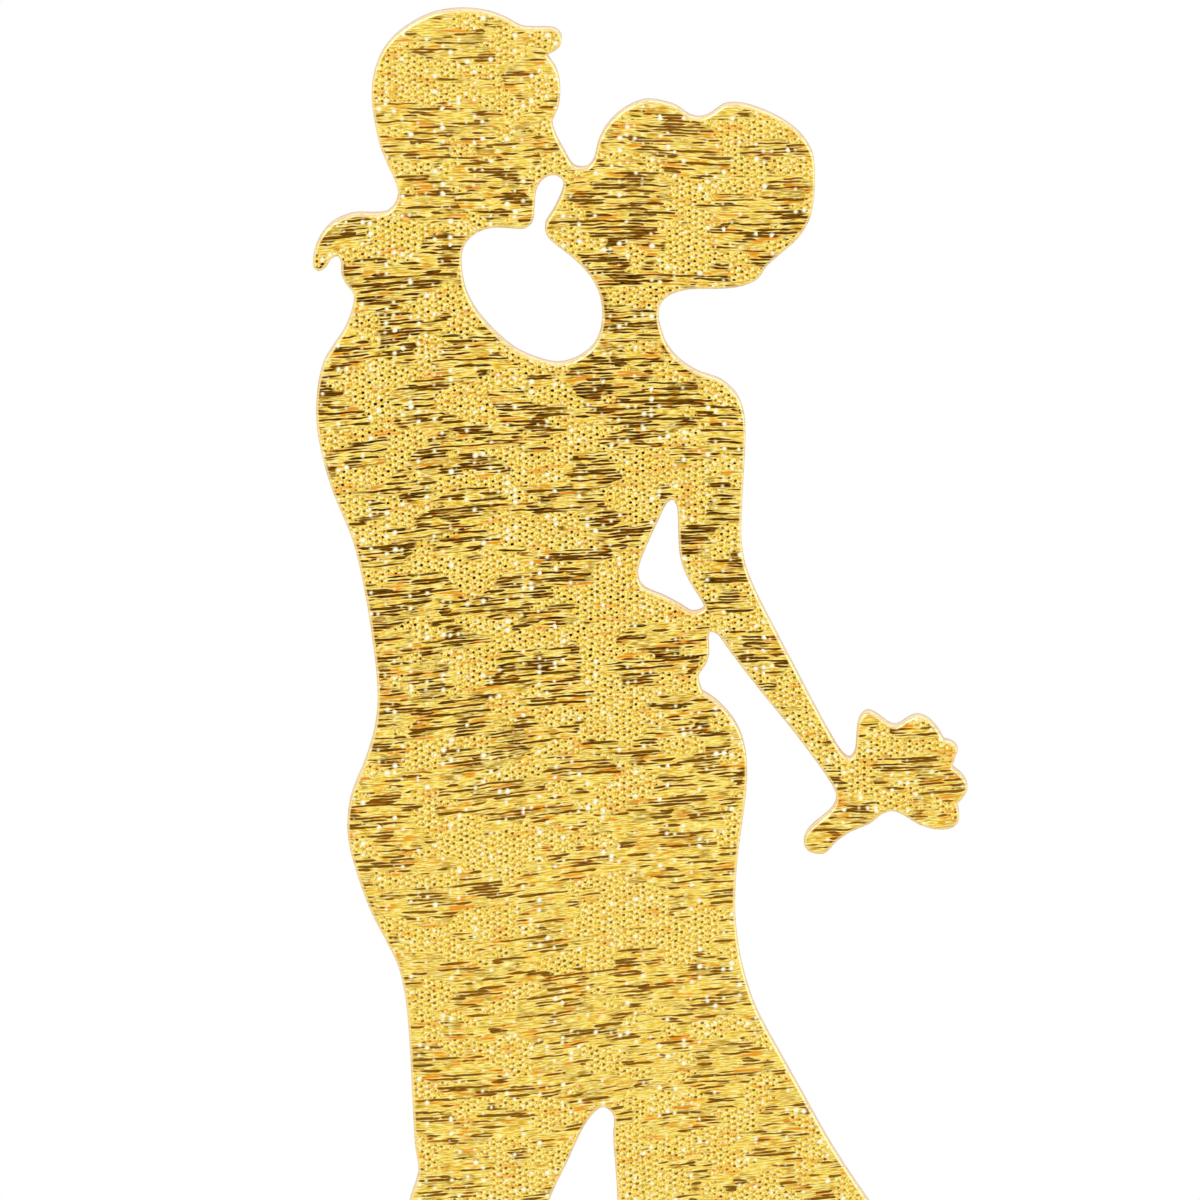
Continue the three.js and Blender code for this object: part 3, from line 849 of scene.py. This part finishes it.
def make_stick(name, node, seed):
    """A closed surface round the stick's axis. Its radius runs along a profile from the tip
    to the chamfer, less the grain's shallow grooves, which wander slowly along it. Where
    the last grooves meet the first, they blend into them."""
    low, high = (np.array(corner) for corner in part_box(node))
    middle, radius = (low + high) / 2, (high[0] - low[0]) / 2
    knots = [low[2], low[2] + stick_taper, high[2] - stick_chamfer, high[2]]
    z = np.sort(np.concatenate([np.linspace(low[2], high[2], stick_rings), knots[1:3]]))
    girth = np.interp(z, knots, [tip_radius, radius, radius, radius - stick_chamfer])
    side = np.arange(stick_sides)
    grooves = drift(side / groove_sides + seed, z[:, None] / groove_length, seed) * groove_depth
    meeting = np.arange(1, groove_sides + 1) / (groove_sides + 1)
    first, last = grooves[:, :groove_sides], grooves[:, -groove_sides:]
    grooves[:, -groove_sides:] = first * meeting + last * (1 - meeting)
    reach = girth[:, None] - grooves
    angle = side * 2 * pi / stick_sides
    x = middle[0] + reach * np.cos(angle)
    y = middle[1] + reach * np.sin(angle)
    shell = np.stack([x, y, np.broadcast_to(z[:, None], x.shape)], 2).reshape(-1, 3)
    ends = [[middle[0], middle[1], low[2]], [middle[0], middle[1], high[2]]]
    foot, head = len(shell), len(shell) + 1
    beside = (side + 1) % stick_sides
    ring, next_ring = (np.arange(start, len(z) - 1 + start)[:, None] * stick_sides for start in (0, 1))
    quads = np.stack([ring + side, ring + beside, next_ring + beside, next_ring + side], 2)
    top_ring = foot - stick_sides
    foot_cap = np.stack([np.full(stick_sides, foot), beside, side], 1)
    head_cap = np.stack([np.full(stick_sides, head), top_ring + side, top_ring + beside], 1)
    faces = quads.reshape(-1, 4).tolist() + foot_cap.tolist() + head_cap.tolist()
    return new_piece(name, np.concatenate([shell, ends]), faces, birch.material, stick_turn)


for side, seed in {"left": 3, "right": 4}.items():
    stick = make_stick(f"{side}_birch_stick", f"{side}_stick", seed)
    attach(stick, "root")
    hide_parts(f"{side}_stick")

# The tape
# Four patches of crepe paper tape press the sticks to the liner. Each lies flat on the
# liner at both ends, climbs to the stick and bends over its round, and it is crinkled
# along the stick.

tape_thickness = 0.15 * mm
stick_gap = 0.2 * mm
flank_foot_share = 0.76
tape_columns = 150
tape_rows = 60
torn_edge, tear_size, tear_power = 0.16 * mm, 0.5 * mm, 9
tape_relief = 0.05 * mm

# Two crinkles in one: how many lie across the tape, how long they are, their share of
# the height, and what is added to the patch's seed
crinkle_height = 0.05 * mm
crinkles = (44, 2.6 * mm, 0.7, 0), (97, 1.2 * mm, 0.3, 9)
crepe_dark, crepe_light, speck_brown = tint(230, 223, 206), tint(248, 245, 237), tint(206, 194, 168)
crepe_cover, speck_cover, speck_share = (0.3, 0.7), (0.62, 0.72), 0.3

paper_tape = Finish("crepe_tape", Roughness=0.62)
creases = paper_tape.grain(0.45 * mm, finer=(1, 1, 0.22), Detail=3.0)
specks = paper_tape.grain(0.2 * mm, Detail=1.0)
crepe_colour = paper_tape.mix(paper_tape.ramp(creases, *crepe_cover), crepe_dark, crepe_light)
speckled = paper_tape.ramp(specks, *speck_cover, high=speck_share)
paper_tape.paint(paper_tape.mix(speckled, crepe_colour, speck_brown))
paper_tape.bump(paper_tape.maths("ADD", creases, specks), tape_relief)


def tape_section(half, radius, share):
    """Places (across, out from the liner) along the tape's under side, and their normals.

    From each end the tape runs flat to the flank's foot, then straight up the tangent to
    a circle of the given radius that stands on the liner, and over that circle."""
    foot = flank_foot_share * half
    slope = 2 * atan2(radius, foot)
    lengths = [half - foot, foot, radius * 2 * slope, foot, half - foot]
    ends = np.cumsum([0, *lengths])
    run = share * ends[-1]
    bend = (run - (ends[2] + ends[3]) / 2) / radius
    climb, fall = run - ends[1], ends[4] - run
    stretches = [run <= ends[1], run <= ends[2], run <= ends[3], run <= ends[4]]
    rising, falling = climb * cos(slope) - foot, foot - fall * cos(slope)
    across = np.select(
        stretches, [run - half, rising, radius * np.sin(bend), falling], run - ends[4] + foot
    )
    over = radius * (1 + np.cos(bend))
    out = np.select(stretches, [0, climb * sin(slope), over, fall * sin(slope)], 0)
    tilt = np.select(stretches, [0, -slope, bend, slope], 0)
    return across, out, np.sin(tilt), np.cos(tilt)


def make_tape(name, node, stick_node, seed):
    """The under side and the top side of a patch, joined round its edge. The top is the
    under side moved out by the thickness and by ridges that run along the stick. The
    tear eats into both ends, and fades quickly away from them."""
    low, high = (np.array(corner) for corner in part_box(node))
    stick_low, stick_high = (np.array(corner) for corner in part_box(stick_node))
    middle, half = (low[0] + high[0]) / 2, (high[0] - low[0]) / 2
    radius = (stick_high[0] - stick_low[0]) / 2 + stick_gap
    heights = np.linspace(low[2], high[2], tape_rows)
    share, z = np.meshgrid(np.linspace(0, 1, tape_columns), heights)
    across, out, lean, rise = tape_section(half, radius, share)
    tear = (drift(z / tear_size, 0 * z + seed, seed) - 1) * torn_edge
    across = across + tear * (2 * share - 1) ** tear_power
    ridges = sum(
        drift(share * count, z / length, seed + more) * weight
        for count, length, weight, more in crinkles
    )
    top = tape_thickness + crinkle_height * ridges
    under = np.stack([middle + across, low[1] + out, z], 2)
    over = np.stack([middle + across + lean * top, low[1] + out + rise * top, z], 2)
    number = np.arange(tape_columns * tape_rows).reshape(tape_rows, tape_columns)
    quads = [number[:-1, :-1], number[:-1, 1:], number[1:, 1:], number[1:, :-1]]
    quads = np.stack(quads, 2).reshape(-1, 4)
    edge = [number[0, :-1], number[:-1, -1], number[-1, :0:-1], number[:0:-1, 0]]
    edge = np.concatenate(edge)
    next_on_edge = np.roll(edge, -1)
    count = number.size
    walls = np.stack([edge, next_on_edge, next_on_edge + count, edge + count], 1)
    faces = np.concatenate([quads, quads[:, ::-1] + count, walls[:, ::-1]]).tolist()
    return new_piece(name, np.stack([under, over]), faces, paper_tape.material, edge_turn)


for patch, seed in {"left_lower": 31, "left_upper": 71, "right_lower": 32, "right_upper": 72}.items():
    side = patch.split("_")[0]
    tape = make_tape(f"{patch}_crepe_tape", f"{patch}_tape", f"{side}_stick", seed)
    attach(tape, "root")
    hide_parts(f"{patch}_tape")

# The studio
# The topper stands on its stick tips on a pale floor that fades into a white backdrop.
# Three wide soft lamps and an even room light it, and the camera looks a little down.

floor_radius = 6.0
floor_sides = 96
fade_start, fade_end = 0.22, 0.5
speckle_size = 1 / 60
floor_dark, floor_light = tint(238, 238, 238), tint(244, 244, 244)
white = (1, 1, 1, 1)
room_level = 0.62
view_width = 99.7 * mm
view_middle = (-15 * mm, 86.74 * mm)
view_distance = 2.4
view_elevation = radians(7.5)
sensor_width = 36.0
view_end = 20.0


def straight_to_camera(nodes):
    """1 for what the camera sees, straight on or by way of gloss or glass, and 0 for light
    on its way."""
    rays = nodes.node("LightPath", {}).outputs
    bounced = nodes.maths("MAXIMUM", rays["Is Glossy Ray"], rays["Is Transmission Ray"])
    return nodes.maths("MAXIMUM", rays["Is Camera Ray"], bounced)


backdrop = Finish("pale_floor", Roughness=0.9)
speckles = backdrop.grain(speckle_size, Detail=3.0)
backdrop.paint(backdrop.mix(speckles, floor_dark, floor_light))
spread = backdrop.node("VectorMath", {0: backdrop.place()}, operation="LENGTH").outputs["Value"]
faded = backdrop.product(straight_to_camera(backdrop), backdrop.ramp(spread, fade_start, fade_end))
glow = backdrop.node("Emission", {"Color": white, "Strength": 1.0}).outputs[0]
shown = backdrop.node("MixShader", {0: faded, 1: backdrop.surface.outputs[0], 2: glow}).outputs[0]
backdrop.fill(backdrop.tree.nodes["Material Output"], {"Surface": shown})

floor_angle = np.arange(floor_sides) * 2 * pi / floor_sides
floor_rim = np.stack([np.cos(floor_angle), np.sin(floor_angle)], 1) * floor_radius
floor_places = np.column_stack([floor_rim, np.full(floor_sides, solid_low[2])])
floor = new_piece("floor", floor_places, [list(range(floor_sides))], backdrop.material, pi)
floor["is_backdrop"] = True

world = bpy.data.worlds.new("room")
world.use_nodes = True
bpy.context.scene.world = world
room = Nodes(world.node_tree)
strength = room.between(straight_to_camera(room), room_level, 1.0)
room.fill(room.tree.nodes["Background"], {"Color": white, "Strength": strength})


def soft_lamp(name, place, size, power):
    """A square lamp that faces the middle of the couple."""
    lamp = bpy.data.lights.new(name, "AREA")
    lamp.size, lamp.energy = size, power
    holder = bpy.data.objects.new(name, lamp)
    holder.location = place
    aim = Vector((0, 0, view_middle[1])) - Vector(place)
    holder.rotation_euler = aim.to_track_quat("-Z", "Y").to_euler()
    bpy.context.scene.collection.objects.link(holder)


soft_lamp("key_lamp", (-0.55, -0.75, 0.75), 0.5, 5.0)
soft_lamp("fill_lamp", (0.8, -0.6, 0.35), 0.6, 2.5)
soft_lamp("back_lamp", (0.2, 0.9, 0.7), 0.6, 3.0)

camera = bpy.data.cameras.new("camera")
camera.sensor_width = sensor_width
camera.lens = sensor_width * view_distance / view_width
camera.clip_end = view_end
holder = bpy.data.objects.new("camera", camera)
target = Vector((view_middle[0], cloth_front, view_middle[1]))
back = Vector((0, -cos(view_elevation), sin(view_elevation)))
holder.location = target + back * view_distance
holder.rotation_euler = (-back).to_track_quat("-Z", "Y").to_euler()
bpy.context.scene.collection.objects.link(holder)
bpy.context.scene.camera = holder
bpy.context.scene.view_settings.view_transform = "Standard"

# Last, the view layer is brought up to date.

bpy.context.view_layer.update()
